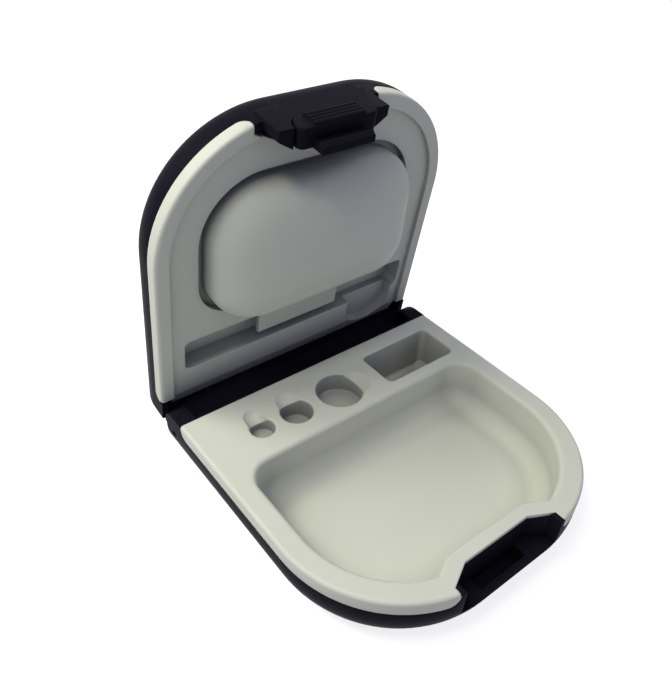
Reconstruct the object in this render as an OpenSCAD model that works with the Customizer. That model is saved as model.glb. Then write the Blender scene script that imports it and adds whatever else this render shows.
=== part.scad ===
// Hearing aid case: a two-tone clamshell with battery wells, a hold-down pad and a press latch.
// Millimetres, +Z up. The origin is the middle of the flat bottom, and the latch faces -Y.

/* [Case] */
// Width across the straight sides
case_w = 80; // [74:1:90]
// Depth from the front to the back edge of the tray
case_d = 72; // [68:1:84]
// Radius of the front corners, seen from above
corner_r = 30; // [26:1:33]
// Height of the base, up to the parting plane
base_h = 17; // [16.5:0.5:22]
// Height of the lid, from the parting plane
lid_h = 13.5; // [13:0.5:18]
// Radius of the lower edges of the base
base_round = 11.5; // [9:0.5:12]
// Radius of the upper edges of the lid
lid_round = 8; // [7:0.5:9.5]
// Radius along the back edge of the base
back_round = 7; // [4:0.5:8]
// Radius along the back edge of the lid
lid_back_round = 10; // [6:0.5:10.5]
// Wall of both outer shells
wall = 1.6; // [1.4:0.1:2]
// Gap between the halves when closed
part_gap = 0.3; // [0.2:0.05:0.5]
// Lid angle as shown, from closed
open_angle = 82; // [70:1:90]

/* [Pale rims] */
// Height of the pale band on each half
rim_band = 3.5; // [3:0.1:5]
// Rounding along the top edge of each pale band
rim_edge_r = 0.8; // [0.4:0.1:1.2]
// Rounding at the ends of each pale band
rim_end_r = 2.6; // [1.5:0.1:2.8]
// Width of the lid liner's rim face
rim_face = 3.4; // [2.5:0.1:4.5]
// Step from the rim face to the lid liner's floor
liner_step = 1; // [0.6:0.1:1.4]

/* [Hinge] */
// Hinge axis behind the tray's back edge
hinge_back = 3.8; // [3.6:0.1:4.4]
// Hinge axis below the parting plane
hinge_drop = 5.7; // [5.5:0.1:6.5]
// Width of each hinge ear
ear_w = 4.6; // [4:0.1:6]
// Wall of the base behind the hinge barrel
ear_wall = 1.4; // [1.2:0.1:2]
// Radius of the lid's hinge barrel
barrel_r = 2.2; // [1.9:0.1:2.3]
// Radius of the hinge pins
hinge_pin_r = 0.8; // [0.6:0.05:1]
// Depth of each pin in the barrel
pin_depth = 7; // [5:0.5:12]
// Thickness of the hinge leaf
leaf_t = 1.6; // [1.4:0.1:1.8]
// Room around the barrel and between barrel and ears
hinge_room = 0.3; // [0.3:0.05:0.5]

/* [Tray] */
// Width of the rim beside the main pocket
pocket_rim = 5.5; // [5:0.1:7]
// Back edge of the main pocket, from the tray's back edge
pocket_back = 20.4; // [20:0.2:24]
// Depth of the main and rectangular pockets
pocket_depth = 13; // [10:0.5:13]
// Fillet at the foot of the main pocket
pocket_foot = 5; // [4:0.2:5.6]
// Back corner radius of the main pocket
pocket_back_r = 6; // [5.8:0.2:8]
// Rounding of the main pocket's mouth
pocket_lip = 1.2; // [0.6:0.1:1.4]
// Wall of the pockets under the tray
cup_wall = 1.2; // [1:0.1:1.4]
// Width of the rectangular pocket
rect_w = 23; // [18:0.5:24]
// Length of the rectangular pocket, front to back
rect_d = 12; // [9:0.5:12.5]
// Middle of the rectangular pocket, from the case's middle
rect_x = 23.4; // [22:0.2:24]
// Front edge of the rectangular pocket to the main pocket
rect_rib = 3.6; // [3:0.1:4]
// Corner radius of the rectangular pocket
rect_r = 1.5; // [1.3:0.1:3]
// Rim of the tray behind the catch recess
bump_rim = 3.3; // [2.9:0.1:3.6]
// Rounding of the rim's edge behind the catch recess
bump_r = 1.6; // [1.2:0.1:1.8]
// Pale edge above the black lining of the catch recess
lining_drop = 1; // [0.6:0.1:1.6]

/* [Battery wells] */
// Diameter of the large well
well_large_d = 12.2; // [11.8:0.1:12.6]
// Diameter of the middle well
well_middle_d = 8.3; // [8:0.1:8.6]
// Diameter of the small well
well_small_d = 6.2; // [5.9:0.1:6.5]
// Middle of the large well, from the case's middle
well_large_x = -0.8; // [-1.4:0.2:-0.2]
// Middle of the middle well
well_middle_x = -14.2; // [-14.8:0.2:-13.6]
// Middle of the small well
well_small_x = -24.2; // [-25.2:0.2:-23.6]
// Line of wells, from the tray's back edge
well_y = 11.4; // [10.6:0.2:11.8]
// Depth of the large and middle wells
well_deep = 5.6; // [4.5:0.1:6.5]
// Depth of the small well
well_shallow = 3.8; // [3:0.1:4.5]
// Rounding of each well's mouth
well_lip = 0.5; // [0.3:0.1:0.7]
// Slope of the finger scoops
scoop_slope = 14; // [12:1:17]
// Length of the finger scoops, from the well's middle to the middle of their round ends
scoop_reach = 4.6; // [4:0.2:5]
// Depth of the scoops at the middle and small wells
scoop_drop = 2.4; // [1.8:0.1:2.8]
// Depth of the scoop at the large well
scoop_large_drop = 3.1; // [2.6:0.1:3.4]

/* [Latch] */
// Middle of the latch, from the case's middle
latch_x = -2; // [-3:0.5:3]
// Half width of the gap between the pale rim ends
gap_half = 15.5; // [14.5:0.5:18]
// Half width of the catch recess at its back
recess_half = 9.6; // [9:0.2:11]
// Depth of the catch recess from the front
recess_d = 5.8; // [5.7:0.1:6.4]
// Depth of the recess where its back corners start
recess_side_d = 2.8; // [2.4:0.1:3.2]
// Depth of the hook's slot below the parting plane
recess_drop = 11.2; // [11:0.1:11.6]
// Rib at each end of the catch recess
tab_t = 1.2; // [0.8:0.1:1.6]
// How far the lid's tongue drops into the base
tongue_drop = 5.2; // [4.6:0.1:5.6]
// Width of the ribbed thumb block
thumb_w = 19.6; // [16:0.2:20]
// Top of the thumb block below the parting plane
thumb_start = 1.7; // [1:0.1:2.4]
// Foot of the thumb block below the parting plane
thumb_drop = 6.8; // [6:0.1:7]
// Upper corner radius of the thumb block
thumb_r = 3.4; // [2:0.1:3.6]
// Lower corner radius of the thumb block
thumb_foot_r = 1.4; // [0.6:0.1:1.4]
// How far the thumb block stands out of the front
thumb_proud = 0.4; // [0.2:0.1:0.8]
// Number of grip ribs
rib_count = 4; // [3:1:5]
// Radius of each grip rib
rib_r = 0.6; // [0.3:0.05:0.6]
// Width of the hook plate
hook_w = 13.2; // [10:0.2:14]
// Thickness of the lever and hook plate
lever_t = 1.5; // [1.2:0.1:1.7]
// Reach of the hook below the parting plane
hook_drop = 10.2; // [10:0.1:10.6]
// How far the barb stands out of the hook plate
barb = 0.7; // [0.6:0.05:0.75]
// How far the catch lip stands out of the front wall
lip_out = 1.2; // [1.1:0.05:1.3]
// Latch pivot behind the front
pivot_in = 3.8; // [3.7:0.05:4.1]
// Latch pivot above the parting plane
pivot_up = 6.2; // [6:0.1:6.4]
// Radius of the lever's pivot barrel
pivot_barrel_r = 1.6; // [1.4:0.1:1.7]
// Radius of the latch pin
latch_pin_r = 0.75; // [0.6:0.05:0.9]
// Outer diameter of the latch spring
spring_d = 2.6; // [2.2:0.1:2.8]
// Wire of the latch spring
spring_wire = 0.4; // [0.3:0.05:0.45]
// Turns of the latch spring
spring_turns = 4; // [3:1:4]

/* [Lid inside] */
// Width of the hold-down pad
pad_w = 55; // [48:0.5:58]
// Front edge of the pad, from the front
pad_front_in = 14; // [13:0.5:18]
// Back edge of the pad, from the tray's back edge
pad_back_in = 25; // [24:0.5:28]
// Reach of the pad below the parting plane
pad_drop = 8.5; // [6:0.5:9]
// Rounding of the pad's face
pad_round = 6; // [4:0.5:7]
// Front corner radius of the pad
pad_front_r = 14; // [10:0.5:16]
// Back corner radius of the pad
pad_back_r = 9; // [7.5:0.5:12]
// Gap between the pad and the liner
moat = 1.8; // [1:0.1:2.2]
// Left end of the tool slot, from the case's middle
slot_left = 33; // [28:0.5:34]
// Right end of the tool slot, from the case's middle
slot_right = 35; // [34.5:0.5:35.5]
// Front edge of the tool slot, from the tray's back edge
slot_front = 18; // [16:0.5:18.5]
// Back edge of the tool slot, from the tray's back edge
slot_back = 9; // [8:0.5:10]
// Depth of the tool slot
slot_depth = 5; // [4.4:0.2:6]
// Corner radius of the tool slot
slot_r = 1.5; // [1:0.1:2.5]
// Half length of the tab over the tool slot
tab_half = 12.3; // [8:0.1:13]
// Reach of the tab over the tool slot
tab_reach = 6.2; // [3:0.2:6.6]
// Diameter of the finger recess
finger_d = 16; // [14:0.5:17]
// Middle of the finger recess, from the case's middle
finger_x = 25.5; // [24:0.5:26]
// Middle of the finger recess, from the tray's back edge
finger_y = 7; // [6.8:0.2:8]
// Depth of the finger recess
finger_depth = 3; // [2:0.2:4]
// Width of the sloping strip along the hinge
strip_w = 4; // [2:0.2:5]
// Drop of the sloping strip at the hinge
strip_drop = 1.2; // [0.8:0.1:1.4]

/* [Hidden] */
$fn = 64;
// Clearances
press_fit = 0.01;
running_fit = 0.05;
seat_gap = 0.15;
tray_gap = 0.3;
latch_room = 0.3;
tongue_room = 0.5;
floor_room = 0.7;
slot_room = 0.5;
over = 1;
big = 200;
// Case
side = case_w / 2;
front = -case_d / 2;
back = case_d / 2;
band_z = base_h - rim_band;
// Hinge
hinge_y = back + hinge_back;
hinge_z = base_h - hinge_drop;
trough_r = barrel_r + hinge_room;
base_back = hinge_y + trough_r + ear_wall;
ear_r = hinge_drop - part_gap;
ear_foot = 2;
leaf_back = 0.4;
leaf_rise = 2;
lid_back = hinge_y + leaf_back;
bulkhead_t = 0.9;
barrel_half = side - ear_w - hinge_room;
pin_head_room = 0.4;
bore_end = 0.3;
liner_back = hinge_y - leaf_t + leaf_back - seat_gap;
// Black corner blocks of the lid, beside the liner's back
corner_len = 1;
// Tray
rect_foot = 1.2;
well_foot = 0.4;
scoop_inset = 0.3;
bump_in = 1.2;
bump_cut = 0.2;
bump_side_cut = 0.1;
lining_top = base_h - lining_drop;
// Latch
front_wall = 1;
catch_wall = 1.2;
recess_x = gap_half - tab_t;
floor_drop = thumb_drop + floor_room;
hook_slot_half = hook_w / 2 + slot_room;
lever_in = 1.2;
lever_y = front + pivot_in - lever_in;
lip_root = 0.2;
lip_h = 1;
lip_edge = 0.6;
lip_z = base_h - floor_drop - lip_h;
barb_root = 0.1;
barb_edge = 0.3;
barb_top = floor_drop + lip_h + latch_room;
rib_margin = 0.9;
lug_in = hook_w / 2 - 0.5;
lug_t = 2.4;
lug_back = 0.4;
lug_d = 2 * pivot_in + lug_back;
lug_h = 8;
lug_rise = 1.5;
spring_z = 2.4;
spring_room = 3.7;
spring_seat_y = lever_y + lever_t + spring_room;
// Lid inside
liner_floor = part_gap + liner_step;
pad_front = front + pad_front_in;
pad_back = back - pad_back_in;
flange_w = 1.6;
pad_flange = moat + flange_w;
flange_t = 1.2;
tab_t_liner = 1.2;
// Colours
BLACK = "#22212c";
PALE = "#d6d6cb";
STEEL = "#b9bcc0";

// Waste outside a quarter round of radius r in the corner at the origin, which points to +x and -y
module corner_waste(r) {
    difference() {
        translate([-r, -1]) square([r + 1, r + 1]);
        translate([-r, r]) circle(r);
    }
}

// Half section of a tub: flat floor, filleted foot and, if lip is given, a rounded mouth
module edge_section(reach, h, foot, lip = 0) {
    difference() {
        square([reach, h]);
        if (foot > 0) translate([reach, 0]) corner_waste(foot);
    }
    if (lip > 0) translate([reach, h - lip]) difference() {
        square(lip);
        translate([lip, 0]) circle(lip);
    }
}

// Tub with its floor at z = 0. A back radius of 0 leaves the back a plain cut.
module tub(w, y0, y1, r_front, r_back, h, foot, lip = 0) {
    half = w / 2;
    for (s = [-1, 1]) {
        translate([s * (half - r_front), y0 + r_front, 0])
            rotate([0, 0, s > 0 ? -90 : 180])
                rotate_extrude(angle = 90) edge_section(r_front, h, foot, lip);
        translate([s * (half - r_front), y1 - r_back, 0])
            mirror([s > 0 ? 0 : 1, 0, 0]) rotate([90, 0, 0])
                linear_extrude(y1 - r_back - y0 - r_front) edge_section(r_front, h, foot, lip);
        if (r_back > 0) translate([s * (half - r_back), y1 - r_back, 0])
            rotate([0, 0, s > 0 ? 0 : 90])
                rotate_extrude(angle = 90) edge_section(r_back, h, foot, lip);
    }
    translate([half - r_front, y0 + r_front, 0]) rotate([90, 0, -90])
        linear_extrude(w - 2 * r_front) edge_section(r_front, h, foot, lip);
    if (r_back > 0) translate([r_back - half, y1 - r_back, 0]) rotate([90, 0, 90])
        linear_extrude(w - 2 * r_back) edge_section(r_back, h, foot, lip);
    translate([r_front - half, y0 + r_front, 0]) cube([w - 2 * r_front, y1 - r_back - y0 - r_front, h]);
}

// Extrudes a profile drawn in Y and Z across the case
module across(len) {
    rotate([90, 0, 90]) linear_extrude(len, center = true) children();
}

// Extrudes a profile drawn in X and Z from y0 backwards
module along(y0, len) {
    translate([0, y0 + len, 0]) rotate([90, 0, 0]) linear_extrude(len) children();
}

// Box between two corners
module box(a, b) {
    translate(a) cube(b - a);
}

// Places what is drawn for the closed lid, with z = 0 at the parting plane, on the open lid
module lid_pose() {
    translate([0, hinge_y, hinge_z]) rotate([-open_angle, 0, 0])
        translate([0, -hinge_y, hinge_drop]) children();
}

// Front gap between the pale rim ends, in X and Z, with the band's lower corners rounded
module gap_profile(foot_z) {
    translate([latch_x, foot_z]) {
        translate([-gap_half, 0]) square([2 * gap_half, rim_band + 1]);
        for (s = [0, 1]) mirror([s, 0]) translate([gap_half, 0]) difference() {
            translate([-1, -1]) square([rim_end_r + 1, rim_end_r + 1]);
            translate([rim_end_r, rim_end_r]) circle(rim_end_r);
        }
    }
}

// Rounded lower back corner of the pale band, in Y and Z
module end_profile(end_y, foot_z) {
    translate([end_y, foot_z]) difference() {
        translate([-rim_end_r, -1]) square([rim_end_r + 1, rim_end_r + 1]);
        translate([-rim_end_r, rim_end_r]) circle(rim_end_r);
    }
}

// Corners of the catch recess in plan: straight sides, then chamfers. room widens it all round.
function recess_points(room, half, back_half) =
    let (x = half + room, back_x = back_half + room, corner_y = front + recess_side_d + room,
        back_y = front + recess_d + room)
    [[latch_x - x, front - over], [latch_x + x, front - over], [latch_x + x, corner_y],
        [latch_x + back_x, back_y], [latch_x - back_x, back_y], [latch_x - x, corner_y]];

module recess_plan(room, half = gap_half, back_half = recess_half) {
    polygon(recess_points(room, half, back_half));
}

// Bump of the tray around the catch recess, shrunk for the outside of the pocket's cup.
// round_r rounds its edge to the pocket.
module bump(shrink, round_r = 0) {
    pts = recess_points(bump_rim - shrink, gap_half - bump_in, recess_half - bump_in);
    difference() {
        linear_extrude(base_h + over) polygon(pts);
        // the two chamfers, with the back edge between them
        if (round_r > 0) for (i = [2 : 4]) {
            d = pts[i + 1] - pts[i];
            translate([pts[i].x, pts[i].y, base_h + bump_cut]) rotate([90, 0, atan2(d.y, d.x) - 90])
                linear_extrude(2 * case_w, center = true) translate([i == 3 ? bump_cut : bump_side_cut, 0]) mirror([0, 1])
                    corner_waste(round_r);
        }
    }
}

// Plan of the recess behind the pale rim ends, with room for the recess's black lining
module lining_plan(room) {
    intersection() {
        recess_plan(catch_wall + room);
        translate([-side, front + recess_side_d - room]) square([case_w, case_d]);
    }
}

// What the black front panel keeps between the pale rim ends, drawn for the base
module panel_zone() {
    along(front - 1, 1 + recess_side_d) gap_profile(band_z);
}

// What the black shell keeps at the back ends of the pale band, drawn for the base
module rim_end_zone(end_y) {
    for (s = [-1, 1]) translate([s * (side - wall), 0, 0]) across(2 * wall + 1) end_profile(end_y, band_z);
}

// Pale band of the base as one block, with its top edge rounded
module tray_block() {
    difference() {
        translate([0, 0, base_h]) mirror([0, 0, 1])
            tub(case_w, front, back, corner_r, 0, rim_band, rim_edge_r);
        panel_zone();
        rim_end_zone(back);
        translate([0, 0, band_z - over]) linear_extrude(rim_band + 2 * over) recess_plan(0);
        translate([0, 0, band_z - over]) linear_extrude(over + lining_top + seat_gap - band_z)
            lining_plan(seat_gap);
    }
}

// Solid outside form of the base
module base_hull() {
    difference() {
        tub(case_w, front, base_back, corner_r, 0, base_h, base_round);
        across(case_w + 2) translate([base_back, 0]) corner_waste(back_round);
    }
}

// Inside form of the base for a wall of thickness t
module base_inside(t) {
    difference() {
        translate([0, 0, t])
            tub(case_w - 2 * t, front + t, base_back - t, corner_r - t, 0, base_h, base_round - t);
        across(case_w) translate([base_back - t, t]) corner_waste(back_round - t);
    }
}

// Hollow of the base around its hinge block and catch box
module base_hollow() {
    difference() {
        base_inside(wall);
        // hinge block
        box([-side, back, hinge_z - trough_r - wall], [side, base_back + 1, base_h + 1]);
        // catch box
        translate([0, 0, base_h - recess_drop - wall]) linear_extrude(recess_drop + wall + 1)
            recess_plan(catch_wall);
    }
}

// Room for the tray above the base's wall
module tray_room() {
    difference() {
        box([-side - 1, front - 1, band_z], [side + 1, back, base_h + 1]);
        panel_zone();
        rim_end_zone(back);
        translate([0, 0, band_z - over]) linear_extrude(over + lining_top - band_z) lining_plan(0);
    }
}

// Swept room of the lid's leaf and barrel between the ears, in Y and Z
module hinge_room_profile() {
    translate([hinge_y, hinge_z]) circle(trough_r);
    translate([back + bulkhead_t, hinge_z - hinge_room]) square([big, big]);
}

// Everything above the ears' round ends, in Y and Z
module ear_waste_profile() {
    difference() {
        translate([back, hinge_z - ear_r]) square([big, big]);
        translate([hinge_y, hinge_z]) circle(ear_r);
        translate([back - 1, 0]) square([hinge_y - back + 1, hinge_z + ear_r]);
        translate([back - 1, 0]) square([big, hinge_z - ear_foot]);
    }
}

module base_shell() {
    color(BLACK) difference() {
        union() {
            difference() {
                base_hull();
                base_hollow();
                tray_room();
                // catch recess, open to the front above its floor
                translate([0, 0, base_h - floor_drop]) linear_extrude(floor_drop + over) recess_plan(0, recess_x);
                // slot of the hook
                intersection() {
                    box([latch_x - hook_slot_half, front, base_h - recess_drop],
                        [latch_x + hook_slot_half, front + recess_d, base_h - floor_drop + over]);
                    base_inside(front_wall);
                }
                across(2 * (barrel_half + hinge_room)) hinge_room_profile();
                across(case_w + 2) ear_waste_profile();
            }
            // catch lip on the front wall of the hook's slot
            translate([latch_x, 0, 0]) across(2 * hook_slot_half)
                translate([front + front_wall - lip_root, lip_z])
                    polygon([[0, 0], [lip_out + lip_root, 0], [lip_out + lip_root, lip_edge], [0, lip_h]]);
        }
        // pin holes in the ears
        translate([-side - 1, hinge_y, hinge_z]) rotate([0, 90, 0])
            cylinder(h = case_w + 2, r = hinge_pin_r + press_fit);
    }
}

// Main pocket, grown by the cup's wall for its outside
module main_pocket(grow, lip = 0) {
    depth = pocket_depth + grow;
    difference() {
        translate([0, 0, base_h - depth])
            tub(case_w - 2 * pocket_rim + 2 * grow, front + pocket_rim - grow, back - pocket_back + grow,
                corner_r - pocket_rim + grow, pocket_back_r + grow, depth, pocket_foot + grow, lip);
        // bump of the front wall around the catch recess
        bump(grow, lip > 0 ? bump_r : 0);
    }
}

// Rectangular pocket
module rect_pocket(grow, lip = 0) {
    y0 = back - pocket_back + rect_rib;
    translate([rect_x, 0, base_h - pocket_depth - grow])
        tub(rect_w + 2 * grow, y0 - grow, y0 + rect_d + grow, rect_r + grow, rect_r + grow,
            pocket_depth + grow, min(rect_foot, rect_r) + grow, lip);
}

// Round battery well
module well(x, d, depth, grow, lip = 0) {
    translate([x, back - well_y, base_h - depth - grow])
        rotate_extrude() edge_section(d / 2 + grow, depth + grow, well_foot + grow, lip);
}

// Sloping finger scoop with a round end out of a well, to the back or turned to the side
module scoop(x, d, drop, turn = 0) {
    r = d / 2 - scoop_inset;
    translate([x, back - well_y, base_h - drop + r]) rotate([0, 0, turn]) rotate([scoop_slope - 90, 0, 0]) {
        cylinder(h = scoop_reach, r = r);
        translate([0, 0, scoop_reach]) sphere(r);
    }
}

module wells(grow, lip = 0) {
    well(well_large_x, well_large_d, well_deep, grow, lip);
    well(well_middle_x, well_middle_d, well_deep, grow, lip);
    well(well_small_x, well_small_d, well_shallow, grow, lip);
}

// All pockets of the tray, grown by the cups' wall for their outside, inside the base's shell
module pockets(grow, pocket_lip_r = 0, well_lip_r = 0) {
    intersection() {
        union() {
            main_pocket(grow, pocket_lip_r);
            rect_pocket(grow, well_lip_r);
            wells(grow, well_lip_r);
        }
        base_inside(wall + tray_gap + cup_wall - grow);
    }
}

module base_tray() {
    color(PALE) difference() {
        union() {
            tray_block();
            intersection() {
                pockets(cup_wall);
                box([-big, -big, 0], [big, big, base_h - rim_edge_r]);
            }
        }
        pockets(0, pocket_lip, well_lip);
        scoop(well_large_x, well_large_d, scoop_large_drop, -90);
        scoop(well_middle_x, well_middle_d, scoop_drop);
        scoop(well_small_x, well_small_d, scoop_drop);
    }
}

// Solid outside form of the closed lid
module lid_hull() {
    difference() {
        translate([0, 0, lid_h]) mirror([0, 0, 1])
            tub(case_w, front, lid_back, corner_r, 0, lid_h - part_gap, lid_round);
        translate([0, 0, lid_h]) mirror([0, 0, 1])
            across(case_w + 2) translate([lid_back, 0]) corner_waste(lid_back_round);
    }
}

// Hollow of the lid, inside its wall
module lid_hollow() {
    difference() {
        translate([0, 0, lid_h - wall]) mirror([0, 0, 1])
            tub(case_w - 2 * wall, front + wall, lid_back - leaf_t, corner_r - wall, 0, lid_h, lid_round - wall);
        translate([0, 0, lid_h - wall]) mirror([0, 0, 1])
            across(case_w + 2) translate([lid_back - leaf_t, 0]) corner_waste(lid_back_round - wall);
    }
}

// What the black front panel keeps between the rim ends of the lid
module lid_panel_zone() {
    along(front - 1, 1 + recess_side_d) mirror([0, 1]) gap_profile(-rim_band);
}

// What the black shell keeps at the back ends of the lid's pale band
module lid_rim_end_zone() {
    for (s = [-1, 1]) translate([s * (side - wall), 0, 0])
        across(2 * wall + 1) mirror([0, 1]) end_profile(back - corner_len, -rim_band);
}

// Plan of the tongue that the lid drops into the catch recess
module tongue_plan(room) {
    recess_plan(room, recess_x);
}

// Room for the liner under the lid's wall
module liner_room() {
    difference() {
        box([-side - 1, front - 1, -1], [side + 1, back - corner_len, rim_band]);
        lid_panel_zone();
        lid_rim_end_zone();
        translate([0, 0, -2 * over]) linear_extrude(rim_band + 3 * over) tongue_plan(-tongue_room);
    }
    box([rim_face - side, back - corner_len - 1, -1], [side - rim_face, liner_back + seat_gap, rim_band]);
}

// Front of the thumb block, in X and Z, grown all round. With a foot radius of 0 it runs on downwards.
module thumb_profile(room, foot_r = 0) {
    half = thumb_w / 2 + room;
    top = room - thumb_start;
    foot = foot_r > 0 ? -thumb_drop : -big;
    difference() {
        translate([-half, foot]) square([2 * half, top - foot]);
        for (s = [0, 1]) mirror([s, 0]) {
            translate([half, top]) mirror([0, 1]) corner_waste(thumb_r + room);
            if (foot_r > 0) translate([half, foot]) corner_waste(foot_r);
        }
    }
}

module lid_shell() {
    color(BLACK) lid_pose() difference() {
        union() {
            difference() {
                lid_hull();
                lid_hollow();
                liner_room();
            }
            // tongue
            intersection() {
                translate([0, 0, -tongue_drop]) linear_extrude(tongue_drop + rim_band) tongue_plan(-tongue_room);
                box([-side, front, -big], [side, back, big]);
            }
            // lugs of the latch pin
            intersection() {
                lid_hull();
                for (s = [-1, 1])
                    translate([latch_x + s * (lug_in + lug_t / 2), front + pivot_in + lug_back, pivot_up + lug_rise])
                        cube([lug_t, lug_d, lug_h], center = true);
            }
            // hinge leaf and barrel
            box([-barrel_half, lid_back - leaf_t, -hinge_drop], [barrel_half, lid_back, rim_band + leaf_rise]);
            translate([-barrel_half, hinge_y, -hinge_drop]) rotate([0, 90, 0])
                cylinder(h = 2 * barrel_half, r = barrel_r);
        }
        translate([latch_x, 0, 0]) {
            // room of the lever behind the panel, and the thumb block's window
            box([-thumb_w / 2 - latch_room, front + wall, -big],
                [thumb_w / 2 + latch_room, front + recess_d + wall, rim_band + seat_gap]);
            along(front - 1, 1 + wall + seat_gap) thumb_profile(latch_room);
            translate([-lug_in - lug_t - 1, front + pivot_in, pivot_up]) rotate([0, 90, 0])
                cylinder(h = 2 * (lug_in + lug_t + 1), r = latch_pin_r + press_fit);
        }
        // pin bores in the barrel's ends
        for (s = [-1, 1]) translate([s * (barrel_half - pin_depth - bore_end), hinge_y, -hinge_drop])
            rotate([0, s * 90, 0]) cylinder(h = pin_depth + bore_end + 1, r = hinge_pin_r + running_fit);
    }
}

// Outline of the pad's foot, grown all round
module pad_body(z, h, grow, foot) {
    translate([0, 0, z])
        tub(pad_w + 2 * grow, pad_front - grow, pad_back + grow, pad_front_r + grow, pad_back_r + grow, h, foot);
}

// Tool slot, between two heights
module tool_slot(z0, z1, grow) {
    translate([(slot_right - slot_left) / 2, 0, z0])
        tub(slot_left + slot_right + 2 * grow, back - slot_front - grow, back - slot_back + grow,
            slot_r + grow, slot_r + grow, z1 - z0, 0);
}

module finger_recess(depth, grow) {
    translate([finger_x, back - finger_y, liner_floor - 1])
        cylinder(h = depth + 1, r = finger_d / 2 + grow);
}

module lid_liner() {
    slot_top = liner_floor + slot_depth;
    color(PALE) lid_pose() difference() {
        union() {
            difference() {
                translate([0, 0, part_gap])
                    tub(case_w, front, back - corner_len, corner_r, 0, rim_band - part_gap, rim_edge_r);
                lid_panel_zone();
                lid_rim_end_zone();
                // recessed floor
                translate([0, 0, part_gap - 1])
                    tub(case_w - 2 * rim_face, front + rim_face, back, corner_r - rim_face, 0, 1 + liner_step, 0);
            }
            // floor that runs on to the hinge
            box([rim_face + seat_gap - side, back - corner_len - 1, liner_floor],
                [side - rim_face - seat_gap, liner_back, rim_band]);
            // cups of the tool slot and the finger recess
            tool_slot(liner_floor, slot_top + cup_wall, cup_wall);
            intersection() {
                finger_recess(finger_depth + cup_wall, cup_wall);
                box([-side, front, liner_floor], [side - rim_face - seat_gap, liner_back, big]);
            }
        }
        translate([0, 0, -1]) linear_extrude(rim_band + 2) recess_plan(seat_gap);
        pad_body(-1, rim_band + 2, moat, 0);
        // slot mouth, short of the tab, and the slot behind it
        difference() {
            tool_slot(-1, slot_top, 0);
            box([-tab_half, back - slot_front - 1, 0],
                [tab_half, back - slot_front + tab_reach, liner_floor + tab_t_liner]);
        }
        finger_recess(finger_depth, 0);
        // sloping strip along the hinge
        across(case_w) polygon([[liner_back - strip_w, liner_floor], [liner_back, liner_floor + strip_drop],
            [liner_back + 1, liner_floor + strip_drop], [liner_back + 1, -1], [liner_back - strip_w, -1]]);
        // seat of the latch spring
        box([latch_x - spring_d / 2 - latch_room, front, -1],
            [latch_x + spring_d / 2 + latch_room, spring_seat_y, rim_band + 1]);
    }
}

module hold_down_pad() {
    color(PALE) lid_pose() difference() {
        union() {
            pad_body(-pad_drop, pad_drop + rim_band + flange_t, 0, pad_round);
            pad_body(rim_band, flange_t, pad_flange, 0);
        }
        pad_body(cup_wall - pad_drop, pad_drop + rim_band + flange_t, -cup_wall, pad_round - cup_wall);
    }
}

module latch_lever() {
    pitch = (thumb_drop - thumb_start - 2 * rib_margin) / (rib_count - 1);
    color(BLACK) lid_pose() translate([latch_x, 0, 0]) difference() {
        union() {
            // thumb block with its rounded corners
            along(front - thumb_proud, thumb_proud + lever_y - front + lever_t) thumb_profile(0, thumb_foot_r);
            // grip ribs
            for (i = [0 : rib_count - 1])
                translate([0, front - thumb_proud, -thumb_start - rib_margin - i * pitch])
                    rotate([0, 90, 0]) cylinder(h = thumb_w - 2 * thumb_r, r = rib_r, center = true, $fn = 24);
            // hook plate with its barb, and the arm to the pivot
            box([-hook_w / 2, lever_y, -hook_drop], [hook_w / 2, lever_y + lever_t, -thumb_start - thumb_r]);
            across(hook_w) polygon([[lever_y + barb_root, -barb_top], [lever_y - barb, -barb_top],
                [lever_y - barb, -barb_top - barb_edge], [lever_y + barb_root, -hook_drop]]);
            box([latch_room - lug_in, lever_y, -thumb_start - thumb_r],
                [lug_in - latch_room, lever_y + lever_t, pivot_up]);
            translate([latch_room - lug_in, front + pivot_in, pivot_up]) rotate([0, 90, 0])
                cylinder(h = 2 * (lug_in - latch_room), r = pivot_barrel_r);
        }
        translate([-lug_in, front + pivot_in, pivot_up]) rotate([0, 90, 0])
            cylinder(h = 2 * lug_in, r = latch_pin_r + running_fit);
    }
}

module latch_pin() {
    color(STEEL) lid_pose() translate([latch_x - lug_in - lug_t, front + pivot_in, pivot_up]) rotate([0, 90, 0])
        cylinder(h = 2 * (lug_in + lug_t), r = latch_pin_r);
}

// Wire of the latch spring as one tube with closed end faces
function coil_point(t, r, len) = [r * cos(360 * spring_turns * t), r * sin(360 * spring_turns * t), len * t];
module coil(r, len, wire) {
    rings = 8 * spring_turns;
    sides = 6;
    pts = [for (i = [0 : rings]) let (a = 360 * spring_turns * i / rings) for (k = [0 : sides - 1])
        let (b = 360 * k / sides)
            coil_point(i / rings, r, len) + wire / 2 * [cos(b) * cos(a), cos(b) * sin(a), sin(b)]];
    walls = [for (i = [0 : rings - 1]) for (k = [0 : sides - 1]) let (n = (k + 1) % sides)
        each [[i * sides + k, (i + 1) * sides + k, (i + 1) * sides + n],
            [i * sides + k, (i + 1) * sides + n, i * sides + n]]];
    caps = [for (k = [1 : sides - 2]) each [[0, k, k + 1],
        [rings * sides, rings * sides + k + 1, rings * sides + k]]];
    polyhedron(pts, concat(walls, caps));
}

// The spring presses the lever off the liner. Its axis is upright while the lid stands open.
module latch_spring() {
    len = (spring_room - 2 * seat_gap) * sin(open_angle) - spring_d * cos(open_angle) - spring_wire;
    color(STEEL) lid_pose()
        translate([latch_x, lever_y + lever_t + spring_room / 2, spring_z]) rotate([open_angle, 0, 0])
            translate([0, 0, -len / 2]) coil((spring_d - spring_wire) / 2, len, spring_wire);
}

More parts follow.
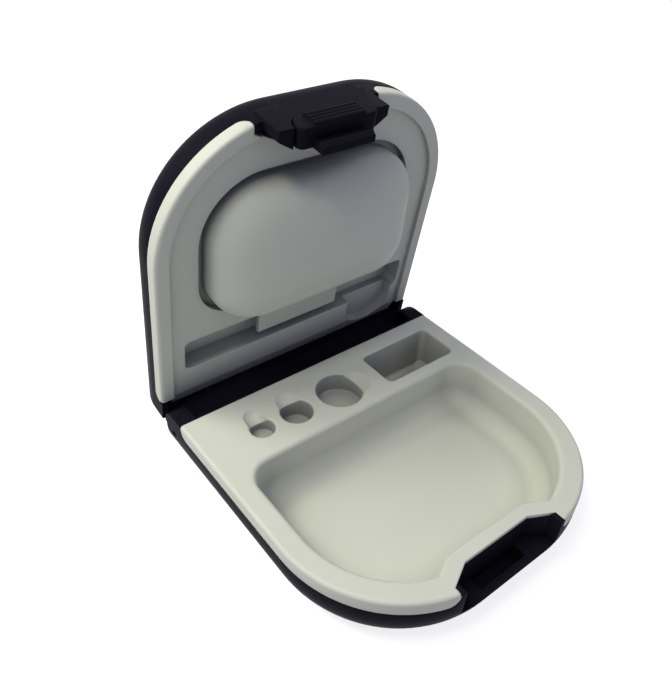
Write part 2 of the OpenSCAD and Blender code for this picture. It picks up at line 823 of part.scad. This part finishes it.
module hinge_pin(s) {
    color(STEEL) translate([s * (barrel_half - pin_depth), hinge_y, hinge_z]) rotate([0, s * 90, 0])
        cylinder(h = side - barrel_half + pin_depth - pin_head_room, r = hinge_pin_r);
}

module hinge_pin_left() {
    hinge_pin(-1);
}

module hinge_pin_right() {
    hinge_pin(1);
}

base_shell();
base_tray();
lid_shell();
lid_liner();
hold_down_pad();
latch_lever();
latch_pin();
latch_spring();
hinge_pin_left();
hinge_pin_right();
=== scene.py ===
"""Hearing aid case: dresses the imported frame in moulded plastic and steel, on a white studio floor."""
import logging
import math
from dataclasses import dataclass
from enum import Enum

import bpy
from mathutils import Matrix, Vector


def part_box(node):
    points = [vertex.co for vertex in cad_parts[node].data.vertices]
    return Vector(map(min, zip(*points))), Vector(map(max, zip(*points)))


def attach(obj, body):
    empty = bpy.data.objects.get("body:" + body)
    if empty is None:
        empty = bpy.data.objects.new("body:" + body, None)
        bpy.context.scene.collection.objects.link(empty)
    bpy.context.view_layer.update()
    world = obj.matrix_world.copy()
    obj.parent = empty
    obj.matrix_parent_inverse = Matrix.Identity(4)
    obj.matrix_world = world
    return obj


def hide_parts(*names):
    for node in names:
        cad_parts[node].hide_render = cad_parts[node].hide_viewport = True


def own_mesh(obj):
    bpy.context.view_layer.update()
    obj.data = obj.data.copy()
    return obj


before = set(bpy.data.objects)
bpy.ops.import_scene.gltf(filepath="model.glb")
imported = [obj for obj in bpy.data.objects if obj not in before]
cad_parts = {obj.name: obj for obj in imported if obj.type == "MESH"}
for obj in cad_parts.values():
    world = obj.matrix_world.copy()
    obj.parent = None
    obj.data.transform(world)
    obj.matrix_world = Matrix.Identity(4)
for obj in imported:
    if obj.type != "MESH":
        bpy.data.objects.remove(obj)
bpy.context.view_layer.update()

LOG = logging.getLogger("hearing_aid_case")
MM = 0.001
IMAGE_W = 672
IMAGE_H = 684
# The lid's hinge: its axis in millimetres, its drop below the closed lid's plane, and the lid's angle at rest
HINGE_Y = 39.8
HINGE_Z = 11.3
HINGE_DROP = 5.7
OPEN_DEG = 82.0


class Grit(Enum):
    """Width of a moulded grain in millimetres, drawn coarser than the real 0.1 mm so that it shows."""

    FINE = 0.35
    MEDIUM = 0.6


def to_linear(colour: str) -> tuple[float, float, float, float]:
    """Turn an sRGB hex colour to linear light.

    Args:
        colour: Six hex digits after a number sign.

    Returns:
        Linear red, green, blue and an alpha of 1.
    """
    parts = [int(colour[i:i + 2], 16) / 255 for i in (1, 3, 5)]
    linear = [p / 12.92 if p <= 0.04045 else ((p + 0.055) / 1.055) ** 2.4 for p in parts]
    return (linear[0], linear[1], linear[2], 1.0)


def add_node(tree: bpy.types.NodeTree, kind: str, settings: dict, links: dict) -> bpy.types.Node:
    """Add one shader node.

    Args:
        tree: Node tree that takes the node.
        kind: Blender's name of the node type.
        settings: Values by attribute name, or by socket name or number.
        links: Output sockets by the input's name or number.

    Returns:
        The new node.
    """
    node = tree.nodes.new(kind)
    for key, value in settings.items():
        if isinstance(key, str) and hasattr(node, key):
            setattr(node, key, value)
        else:
            node.inputs[key].default_value = value
    for key, output in links.items():
        tree.links.new(output, node.inputs[key])
    return node


def new_material(name: str) -> bpy.types.Material:
    """Make a material with an empty node tree.

    Args:
        name: Name of the material.

    Returns:
        The material.
    """
    material = bpy.data.materials.new(name)
    material.use_nodes = True
    material.node_tree.nodes.clear()
    return material


@dataclass(frozen=True)
class MouldedPlastic:
    """Injection-moulded plastic with a grained surface, slight shade drift and painted shade in its corners.
    """

    name: str
    colour: str
    shade: str
    roughness: float
    gloss_drift: float
    grit: Grit
    grain_depth: float
    specular: float
    edge_mm: float
    painted_shade: str
    shade_reach_mm: float
    ior: float = 1.53
    flow_mm: float = 18.0
    # Share of open sky at which a corner takes all the painted shade, and at which a surface takes none
    full_shade_sky: float = 0.15
    no_shade_sky: float = 0.85
    # Rays for the edge and corner shading
    samples: int = 8

    def make(self) -> bpy.types.Material:
        """Build the material.

        Returns:
            The material, with its nodes.
        """
        material = new_material(self.name)
        tree = material.node_tree
        place = add_node(tree, "ShaderNodeTexCoord", {}, {}).outputs["Object"]
        # One noise cell is about one unit over the scale, so a grain of w metres needs a scale of 1 / w.
        grain = add_node(
            tree, "ShaderNodeTexNoise",
            {"Scale": 1 / (self.grit.value * MM), "Detail": 3.0, "Roughness": 0.55}, {"Vector": place})
        # Flow marks of the melt drift the shade and the gloss a little.
        flow = add_node(
            tree, "ShaderNodeTexNoise",
            {"Scale": 1 / (self.flow_mm * MM), "Detail": 2.0, "Roughness": 0.5}, {"Vector": place})
        tint = add_node(
            tree, "ShaderNodeMix",
            {"data_type": "RGBA", 6: to_linear(self.colour), 7: to_linear(self.shade)},
            {0: flow.outputs["Fac"]})
        # Painted shade: corners, slots and the gap round the pad are darkened by how little open sky they
        # see.
        open_air = add_node(
            tree, "ShaderNodeAmbientOcclusion", {"samples": self.samples, "Distance": self.shade_reach_mm * MM}, {})
        unshaded = add_node(
            tree, "ShaderNodeMapRange", {"From Min": self.full_shade_sky, "From Max": self.no_shade_sky},
            {"Value": open_air.outputs["AO"]})
        shaded_tint = add_node(
            tree, "ShaderNodeMix", {"data_type": "RGBA", 6: to_linear(self.painted_shade)},
            {0: unshaded.outputs[0], 7: tint.outputs[2]})
        gloss = add_node(
            tree, "ShaderNodeMapRange",
            {"To Min": self.roughness - self.gloss_drift, "To Max": self.roughness + self.gloss_drift},
            {"Value": flow.outputs["Fac"]})
        # Moulded edges are never sharp: the shading runs round each one on a small radius.
        edges = add_node(
            tree, "ShaderNodeBevel", {"samples": self.samples, "Radius": self.edge_mm * MM}, {})
        bump = add_node(
            tree, "ShaderNodeBump", {"Strength": 1.0, "Distance": self.grain_depth * MM},
            {"Height": grain.outputs["Fac"], "Normal": edges.outputs[0]})
        shader = add_node(
            tree, "ShaderNodeBsdfPrincipled", {"IOR": self.ior, "Specular IOR Level": self.specular},
            {"Base Color": shaded_tint.outputs[2], "Roughness": gloss.outputs[0], "Normal": bump.outputs[0]})
        add_node(tree, "ShaderNodeOutputMaterial", {}, {"Surface": shader.outputs[0]})
        return material


@dataclass(frozen=True)
class DrawnSteel:
    """Stainless steel wire, drawn through a die, which leaves fine marks in its shine."""

    name: str
    colour: str
    roughness: float
    gloss_drift: float
    mark_mm: float

    def make(self) -> bpy.types.Material:
        """Build the material.

        Returns:
            The material, with its nodes.
        """
        material = new_material(self.name)
        tree = material.node_tree
        place = add_node(tree, "ShaderNodeTexCoord", {}, {}).outputs["Object"]
        marks = add_node(
            tree, "ShaderNodeTexNoise", {"Scale": 1 / (self.mark_mm * MM), "Detail": 2.0}, {"Vector": place})
        gloss = add_node(
            tree, "ShaderNodeMapRange",
            {"To Min": self.roughness - self.gloss_drift, "To Max": self.roughness + self.gloss_drift},
            {"Value": marks.outputs["Fac"]})
        shader = add_node(
            tree, "ShaderNodeBsdfPrincipled", {"Base Color": to_linear(self.colour), "Metallic": 1.0},
            {"Roughness": gloss.outputs[0]})
        add_node(tree, "ShaderNodeOutputMaterial", {}, {"Surface": shader.outputs[0]})
        return material


# ABS, moulded in a spark-eroded tool: near black with a blue cast, and hardly any sheen. Its corners get a
# darker painted shade.
BLACK_ABS = MouldedPlastic(
    name="abs_moulded_blue_black", colour="#171620", shade="#1c1b26", roughness=0.42, gloss_drift=0.06,
    grit=Grit.FINE, grain_depth=0.012, specular=0.010, edge_mm=0.5, painted_shade="#0e0d13", shade_reach_mm=4.0)
# ABS, moulded in a blasted tool: warm pale grey, nearly matt, so that pockets shade softly. Its pockets,
# slots and corners get a grey painted shade.
PALE_ABS = MouldedPlastic(
    name="abs_moulded_warm_grey", colour="#d9dad0", shade="#d3d4ca", roughness=0.55, gloss_drift=0.04,
    grit=Grit.MEDIUM, grain_depth=0.010, specular=0.35, edge_mm=0.5, painted_shade="#88898a", shade_reach_mm=13.0)
# Stainless steel, drawn wire: a grey metal with a half-dull shine.
WIRE_STEEL = DrawnSteel(
    name="stainless_drawn_wire", colour="#b9bcc0", roughness=0.32, gloss_drift=0.08, mark_mm=0.2)


def soften(piece: bpy.types.Object, width_mm: float, sharp_deg: float = 32.0, weld_mm: float = 0.002) -> None:
    """Weld a CAD node's points and break its sharp edges, with modifiers.

    Args:
        piece: The node's object.
        width_mm: Width of the edge break.
        sharp_deg: Edges sharper than this are broken.
        weld_mm: Points nearer than this are joined first.
    """
    weld = piece.modifiers.new("weld", "WELD")
    weld.merge_threshold = weld_mm * MM
    bevel = piece.modifiers.new("edge_break", "BEVEL")
    bevel.width = width_mm * MM
    bevel.segments = 3
    bevel.limit_method = "ANGLE"
    bevel.angle_limit = math.radians(sharp_deg)
    bevel.harden_normals = True
    bevel.use_clamp_overlap = True


def dress(node: str, material: bpy.types.Material, edge_mm: float) -> None:
    """Give a CAD node its material and softened edges.

    Args:
        node: Name of the CAD node.
        material: Its finish.
        edge_mm: Width of the edge break, or 0 for none.
    """
    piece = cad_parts[node]
    piece.data.materials.clear()
    piece.data.materials.append(material)
    if edge_mm > 0:
        soften(piece, edge_mm)
    LOG.info("dressed %s with %s", node, material.name)


def skin(first: int, count: int, rings: int, mirrored: bool = False) -> list[list[int]]:
    """Join a stack of closed rings of points into one closed skin.

    Args:
        first: Number of the first ring's first point.
        count: Points in each ring.
        rings: Number of rings.
        mirrored: Turn the faces over, for a stack that is a mirror image.

    Returns:
        The faces as lists of point numbers, with a cap at each end.
    """
    last = first + (rings - 1) * count
    faces = [list(range(first, first + count)), list(reversed(range(last, last + count)))]
    for near in range(first, last, count):
        far = near + count
        for i in range(count):
            j = (i + 1) % count
            faces.append([near + j, near + i, far + i, far + j])
    return [face[::-1] for face in faces] if mirrored else faces


def add_piece(name: str, points: list[Vector], faces: list[list[int]]) -> bpy.types.Object:
    """Make a new piece and put it in the scene.

    Args:
        name: Name of the piece.
        points: Its points, in millimetres.
        faces: Its faces, as lists of point numbers.

    Returns:
        The piece's object.
    """
    mesh = bpy.data.meshes.new(name)
    mesh.from_pydata([point * MM for point in points], [], faces)
    mesh.validate()
    piece = bpy.data.objects.new(name, mesh)
    bpy.context.scene.collection.objects.link(piece)
    return piece


@dataclass
class CaseBase:
    """Lower half: black tub and pale tray."""

    shell_edge: float = 0.25
    tray_edge: float = 0.35

    def dress(self, black: bpy.types.Material, pale: bpy.types.Material) -> None:
        """Dress the tub and the tray in black and pale plastic."""
        dress("base_shell", black, self.shell_edge)
        dress("base_tray", pale, self.tray_edge)


@dataclass
class CaseLid:
    """Upper half: black cover and pale liner."""

    shell_edge: float = 0.25
    liner_edge: float = 0.3

    def dress(self, black: bpy.types.Material, pale: bpy.types.Material) -> None:
        """Dress the cover and the liner."""
        dress("lid_shell", black, self.shell_edge)
        dress("lid_liner", pale, self.liner_edge)


@dataclass
class HingeLips:
    """Rounded lips under the lid's back edge that close the view between the lid and the hinge ears."""

    inner_x: float = 35.25
    outer_x: float = 39.3
    inner_r: float = 5.6
    outer_r: float = 6.5
    low_deg: float = -9.0
    high_deg: float = 9.0
    end_round: float = 0.3
    # Share of the end's round that is left half way along its arc
    half_way: float = 0.3
    arc_steps: int = 6

    def section(self, trim: float) -> list[tuple[float, float]]:
        """Draw a lip's section across the hinge.

        Args:
            trim: How far the outline draws in, for the rounded ends.

        Returns:
            Points in Y and Z, along the inner arc and back along the outer one.
        """
        pull = math.degrees(trim / self.inner_r)
        span = self.high_deg - self.low_deg - 2 * pull
        turns = [self.low_deg + pull + span * k / self.arc_steps for k in range(self.arc_steps + 1)]
        rims = [(self.inner_r + trim, a) for a in turns]
        rims += [(self.outer_r - trim, a) for a in reversed(turns)]
        return [
            (HINGE_Y + r * math.cos(math.radians(a)), HINGE_Z + r * math.sin(math.radians(a)))
            for r, a in rims]

    def build(self) -> bpy.types.Object:
        """Loft both lips along the hinge.

        Returns:
            The lips as one piece, riding on the lid.
        """
        soft = self.end_round
        part = soft * self.half_way
        stations = [
            (self.inner_x, soft), (self.inner_x + part, part), (self.inner_x + soft, 0.0),
            (self.outer_x - soft, 0.0), (self.outer_x - part, part), (self.outer_x, soft)]
        points = []
        faces = []
        for side in (-1, 1):
            rings = [[Vector((side * x, y, z)) for y, z in self.section(trim)] for x, trim in stations]
            faces += skin(len(points), len(rings[0]), len(rings), mirrored=side < 0)
            points += [point for ring in rings for point in ring]
        lips = add_piece("hinge_lips", points, faces)
        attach(lips, "lid")
        return lips

    def dress(self, black: bpy.types.Material) -> None:
        """Build the lips and give them the black plastic."""
        lips = self.build()
        lips.data.materials.append(black)
        LOG.info("built %s under the lid's back edge", lips.name)


@dataclass
class HoldDownPad:
    """Domed pillow in the lid that keeps the aids in the main pocket, in millimetres on the closed lid."""

    width: float = 55.0
    front: float = -22.0
    back: float = 11.0
    front_r: float = 14.0
    back_r: float = 9.0
    wall_z: float = -0.6
    face_z: float = -8.5
    # Slope of the face, which makes the dome deeper on the hinge side
    back_lean: float = 0.15
    # Power of the dome's curve: 2 is an ellipse, and more is fuller
    fullness: float = 4.0
    flange: float = 3.4
    flange_z: float = 3.5
    flange_t: float = 1.2
    # Edges sharper than this keep a crisp shade
    crisp_deg: float = 50.0
    rings: int = 28
    arc_steps: int = 16

    def outline(self, grow: float) -> list[tuple[float, float]]:
        """Draw the pad's plan.

        Args:
            grow: How far the outline stands outside the pad's wall.

        Returns:
            Points round the plan, with a corner radius at the front and another at the back.
        """
        half = self.width / 2 + grow
        low = self.front - grow
        high = self.back + grow
        low_r = self.front_r + grow
        high_r = self.back_r + grow
        corners = [
            (half - low_r, low + low_r, low_r, -90), (half - high_r, high - high_r, high_r, 0),
            (high_r - half, high - high_r, high_r, 90), (low_r - half, low + low_r, low_r, 180)]
        points = []
        for x, y, radius, start in corners:
            for step in range(self.arc_steps + 1):
                turn = math.radians(start + 90 * step / self.arc_steps)
                points.append((x + radius * math.cos(turn), y + radius * math.sin(turn)))
        return points

    def levels(self) -> list[list[Vector]]:
        """Stack the closed outlines, each smaller than the one before it once the dome starts.

        Returns:
            The outlines, from the back of the flange to the middle of the dome.
        """
        mid_y = (self.front + self.back) / 2
        wide = self.outline(self.flange)
        wall = self.outline(0.0)
        stack = [
            [Vector((x, y, self.flange_z + self.flange_t)) for x, y in wide],
            [Vector((x, y, self.flange_z)) for x, y in wide],
            [Vector((x, y, self.flange_z)) for x, y in wall]]
        for step in range(self.rings):
            size = 1 - (step / self.rings) ** 2
            rise = math.sqrt(1 - size ** self.fullness)
            z = self.wall_z + (self.face_z - self.wall_z) * rise
            lean = self.back_lean * rise
            stack.append([
                Vector((x * size, mid_y + (y - mid_y) * size, z - lean * (y - mid_y) * size))
                for x, y in wall])
        return stack

    def build(self) -> bpy.types.Object:
        """Loft the pad and stand it in the open lid.

        Returns:
            The pad, riding on the lid in place of its plain solid.
        """
        levels = self.levels()
        swing = (
            Matrix.Translation((0, HINGE_Y, HINGE_Z))
            @ Matrix.Rotation(math.radians(-OPEN_DEG), 4, "X")
            @ Matrix.Translation((0, -HINGE_Y, HINGE_DROP)))
        points = [swing @ point for level in levels for point in level]
        pad = add_piece("domed_pad", points, skin(0, len(levels[0]), len(levels)))
        pad.data.shade_smooth()
        crisp = pad.modifiers.new("flange_edges", "EDGE_SPLIT")
        crisp.split_angle = math.radians(self.crisp_deg)
        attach(pad, "lid")
        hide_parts("hold_down_pad")
        return pad

    def dress(self, pale: bpy.types.Material) -> None:
        """Build the pad and give it the pale plastic."""
        pad = self.build()
        pad.data.materials.append(pale)
        LOG.info("built %s in place of the plain pad", pad.name)


@dataclass
class Latch:
    """Press latch: lever and pin."""

    lever_edge: float = 0.2

    def dress(self, black: bpy.types.Material, steel: bpy.types.Material) -> None:
        """Dress the lever and its pin."""
        dress("latch_lever", black, self.lever_edge)
        dress("latch_pin", steel, 0)


@dataclass
class LatchSpring:
    """Coil spring behind the lever, wound from wire with closed ends."""

    wire: float = 0.4
    turns: float = 4.0
    closed_turns: float = 0.75
    steps: int = 24
    sides: int = 10
    # Share of the coil's length that is left when the latch is pressed
    pressed: float = 0.8

    def rise(self, turn: float, height: float) -> float:
        """Climb of the wire.

        Args:
            turn: Turns from the lower end.
            height: Height of the coil between the middles of its end wires.

        Returns:
            Height at that turn: a wire's width per turn in the closed ends, and evenly wider between them.
        """
        low = self.closed_turns
        high = self.turns - low
        step = low * self.wire
        if turn < low:
            return turn * self.wire
        if turn > high:
            return height - (self.turns - turn) * self.wire
        return step + (height - 2 * step) * (turn - low) / (high - low)

    def build(self) -> bpy.types.Object:
        """Wind the coil where the plain one stands.

        Returns:
            The spring, riding on the lid.
        """
        low, high = [Vector(corner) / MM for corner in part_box("latch_spring")]
        foot = Vector(((low.x + high.x) / 2, (low.y + high.y) / 2, low.z))
        up = Vector((0, 0, 1))
        radius = (high.x - low.x - self.wire) / 2
        height = high.z - low.z - self.wire
        rings = int(self.steps * self.turns) + 1
        points = []
        for k in range(rings):
            turn = k / self.steps
            out = Vector((math.cos(math.tau * turn), math.sin(math.tau * turn), 0))
            heart = foot + radius * out + (self.wire / 2 + self.rise(turn, height)) * up
            for i in range(self.sides):
                a = math.tau * i / self.sides
                points.append(heart + self.wire / 2 * (math.cos(a) * out + math.sin(a) * up))
        coil = add_piece("latch_coil", points, skin(0, self.sides, rings))
        coil.data.shade_smooth()
        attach(coil, "lid")
        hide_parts("latch_spring")
        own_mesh(coil)
        return coil

    def dress(self, steel: bpy.types.Material) -> None:
        """Wind the spring and give it the steel."""
        coil = self.build()
        coil.data.materials.append(steel)
        LOG.info("wound %s behind the lever", coil.name)


@dataclass
class HingePins:
    """The two steel pins that carry the lid."""

    edge: float = 0.1

    def dress(self, steel: bpy.types.Material) -> None:
        """Dress both pins in steel."""
        for side in ("left", "right"):
            dress(f"hinge_pin_{side}", steel, self.edge)


@dataclass(frozen=True)
class Lamp:
    """A soft square lamp."""

    name: str
    place_mm: tuple[float, float, float]
    size_mm: float
    watts: float
    tone: str

    def hang(self, aim_mm: tuple[float, float, float]) -> None:
        """Hang the lamp so that it faces the case.

        Args:
            aim_mm: The point that it faces.
        """
        data = bpy.data.lights.new(self.name, "AREA")
        data.size = self.size_mm * MM
        data.energy = self.watts
        data.color = to_linear(self.tone)[:3]
        lamp = bpy.data.objects.new(self.name, data)
        lamp.location = Vector(self.place_mm) * MM
        aim = Vector(aim_mm) * MM - lamp.location
        lamp.rotation_mode = "QUATERNION"
        lamp.rotation_quaternion = aim.to_track_quat("-Z", "Y")
        bpy.context.scene.collection.objects.link(lamp)


# The light comes from the upper left: the key and the rim from behind, and the fill from a little in front.
LAMPS = (
    Lamp(name="key", place_mm=(-238, 175, 490), size_mm=200, watts=1.45, tone="#ffffe8"),
    Lamp(name="fill", place_mm=(-240, -40, 520), size_mm=110, watts=0.68, tone="#ffffe8"),
    Lamp(name="rim", place_mm=(-286, 361, 353), size_mm=200, watts=0.48, tone="#ffffff"),
)


@dataclass
class Studio:
    """White floor, soft lights and the camera."""

    focal_px: float = 704.0
    azimuth_deg: float = -40.20
    elevation_deg: float = 38.55
    roll_deg: float = 3.63
    distance_mm: float = 195.1
    target_mm: tuple[float, float, float] = (10.43, 40.48, 17.0)
    sensor_mm: float = 36.0
    clip_m: tuple[float, float] = (0.01, 10.0)
    lamp_aim_mm: tuple[float, float, float] = (0, 20, 30)
    floor_half_m: float = 3.0
    floor_drop_mm: float = 0.2
    paper: str = "#c4c4c4"
    # What the floor adds to its lit paper for the camera, so that it is white but for the case's shadow
    floor_glow: float = 0.80
    air: str = "#d8dcff"
    air_level: float = 0.34

    def camera(self) -> None:
        """Stand the camera where the photograph was taken from."""
        a = math.radians(self.azimuth_deg)
        e = math.radians(self.elevation_deg)
        r = math.radians(self.roll_deg)
        back = Vector((math.sin(a) * math.cos(e), -math.cos(a) * math.cos(e), math.sin(e)))
        right = Vector((0, 0, 1)).cross(back).normalized()
        up = back.cross(right)
        rolled_right = math.cos(r) * right + math.sin(r) * up
        rolled_up = math.cos(r) * up - math.sin(r) * right
        data = bpy.data.cameras.new("camera")
        data.sensor_width = self.sensor_mm
        data.lens = self.focal_px * self.sensor_mm / max(IMAGE_W, IMAGE_H)
        data.clip_start, data.clip_end = self.clip_m
        camera = bpy.data.objects.new("camera", data)
        turn = Matrix((rolled_right, rolled_up, back)).transposed().to_4x4()
        place = (Vector(self.target_mm) + self.distance_mm * back) * MM
        camera.matrix_world = Matrix.Translation(place) @ turn
        bpy.context.scene.collection.objects.link(camera)
        bpy.context.scene.camera = camera

    def seen(self, tree: bpy.types.NodeTree, level: float) -> bpy.types.NodeSocket:
        """Tell the rays that see the background from those that light the case.

        Args:
            tree: Node tree of the floor or the world.
            level: Strength for camera, glossy and transmission rays.

        Returns:
            A socket with that strength for these rays and 0 for all others.
        """
        path = add_node(tree, "ShaderNodeLightPath", {}, {})
        mirrored = add_node(
            tree, "ShaderNodeMath", {"operation": "MAXIMUM"},
            {0: path.outputs["Is Glossy Ray"], 1: path.outputs["Is Transmission Ray"]})
        any_of = add_node(
            tree, "ShaderNodeMath", {"operation": "MAXIMUM"},
            {0: path.outputs["Is Camera Ray"], 1: mirrored.outputs[0]})
        strength = add_node(
            tree, "ShaderNodeMath", {"operation": "MULTIPLY", 1: level}, {0: any_of.outputs[0]})
        return strength.outputs[0]

    def floor(self) -> None:
        """Lay the floor, white to the camera and to reflections, with the case's shadow on it."""
        mesh = bpy.data.meshes.new("floor")
        half = self.floor_half_m
        corners = [(-half, -half, 0), (half, -half, 0), (half, half, 0), (-half, half, 0)]
        mesh.from_pydata(corners, [], [(0, 1, 2, 3)])
        floor = bpy.data.objects.new("floor", mesh)
        floor.location.z = -self.floor_drop_mm * MM
        bpy.context.scene.collection.objects.link(floor)
        # Seamless paper: plain and matt.
        material = new_material("white_seamless_paper")
        tree = material.node_tree
        paper = add_node(tree, "ShaderNodeBsdfDiffuse", {"Color": to_linear(self.paper)}, {})
        glow = add_node(
            tree, "ShaderNodeEmission", {"Color": to_linear("#ffffff")},
            {"Strength": self.seen(tree, self.floor_glow)})
        both = add_node(tree, "ShaderNodeAddShader", {}, {0: paper.outputs[0], 1: glow.outputs[0]})
        add_node(tree, "ShaderNodeOutputMaterial", {}, {"Surface": both.outputs[0]})
        mesh.materials.append(material)

    def lights(self) -> None:
        """Hang the lamps, in an even bluish world that is white to the camera and to reflections."""
        for lamp in LAMPS:
            lamp.hang(self.lamp_aim_mm)
        world = bpy.data.worlds.new("studio")
        world.use_nodes = True
        tree = world.node_tree
        tree.nodes.clear()
        soft = add_node(
            tree, "ShaderNodeBackground", {"Color": to_linear(self.air), "Strength": self.air_level}, {})
        white = add_node(tree, "ShaderNodeBackground", {"Color": to_linear("#ffffff"), "Strength": 1.0}, {})
        mix = add_node(
            tree, "ShaderNodeMixShader", {},
            {0: self.seen(tree, 1.0), 1: soft.outputs[0], 2: white.outputs[0]})
        add_node(tree, "ShaderNodeOutputWorld", {}, {"Surface": mix.outputs[0]})
        bpy.context.scene.world = world
        bpy.context.scene.view_settings.view_transform = "Standard"

    def build(self) -> None:
        """Set up the camera, the floor and the lights."""
        self.camera()
        self.floor()
        self.lights()
        LOG.info("set the stage with %d lamps", len(LAMPS))


def main() -> None:
    """Dress each sub-assembly, then set the stage."""
    logging.basicConfig(level=logging.INFO, format="%(name)s: %(message)s")
    black = BLACK_ABS.make()
    pale = PALE_ABS.make()
    steel = WIRE_STEEL.make()
    CaseBase().dress(black, pale)
    CaseLid().dress(black, pale)
    HingeLips().dress(black)
    HoldDownPad().dress(pale)
    Latch().dress(black, steel)
    LatchSpring().dress(steel)
    HingePins().dress(steel)
    Studio().build()


if __name__ == "__main__":
    main()
